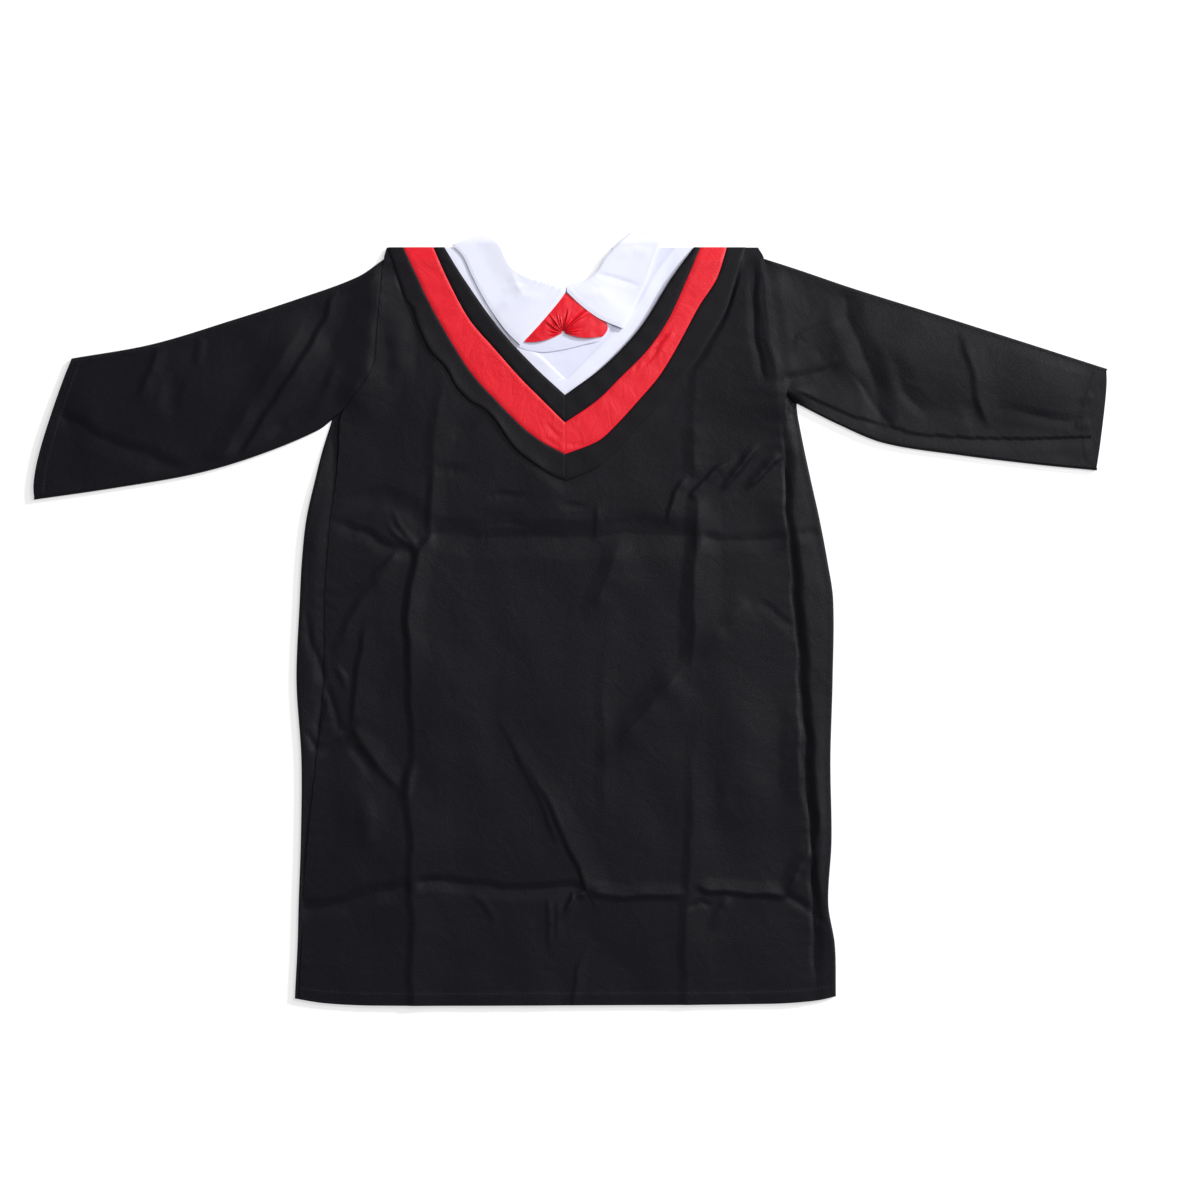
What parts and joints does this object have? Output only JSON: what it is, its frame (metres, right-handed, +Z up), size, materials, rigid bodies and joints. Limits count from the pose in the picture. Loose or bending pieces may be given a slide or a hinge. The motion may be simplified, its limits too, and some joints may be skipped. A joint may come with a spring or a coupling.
{
  "type": "graduation gown",
  "caption": "Child's black pull-over graduation gown laid flat, with spread sleeves, a V of black and red bands, a white shirt front and collar, and a red satin bow.",
  "frame": {"origin": "centre of the laid gown's outline, on the surface that it lies on", "axes": "+Z up out of the front of the gown, +Y toward the neck, +X toward the wearer's left sleeve"},
  "size_m": [0.9866, 0.7115, 0.0087],
  "materials": {
    "black_cloth": "plain-woven black polyester with a faint sheen, press creases and soft folds",
    "black_trim": "smooth black polyester band, folded and pressed",
    "red_satin": "bright red satin with a soft sheen",
    "white_cotton": "matt white poplin with topstitched edges"
  },
  "bodies": {
    "root": {"back_panel": "black_cloth", "front_panel": "black_cloth", "sleeve_right": "black_cloth", "sleeve_left": "black_cloth", "band_inner_right": "black_trim", "band_inner_left": "black_trim", "band_red_right": "red_satin", "band_red_left": "red_satin", "band_outer_right": "black_trim", "band_outer_left": "black_trim", "shirt_front": "white_cotton", "collar_stand": "white_cotton", "collar_right": "white_cotton", "collar_left": "white_cotton", "bow": "red_satin"}
  },
  "joints": []
}
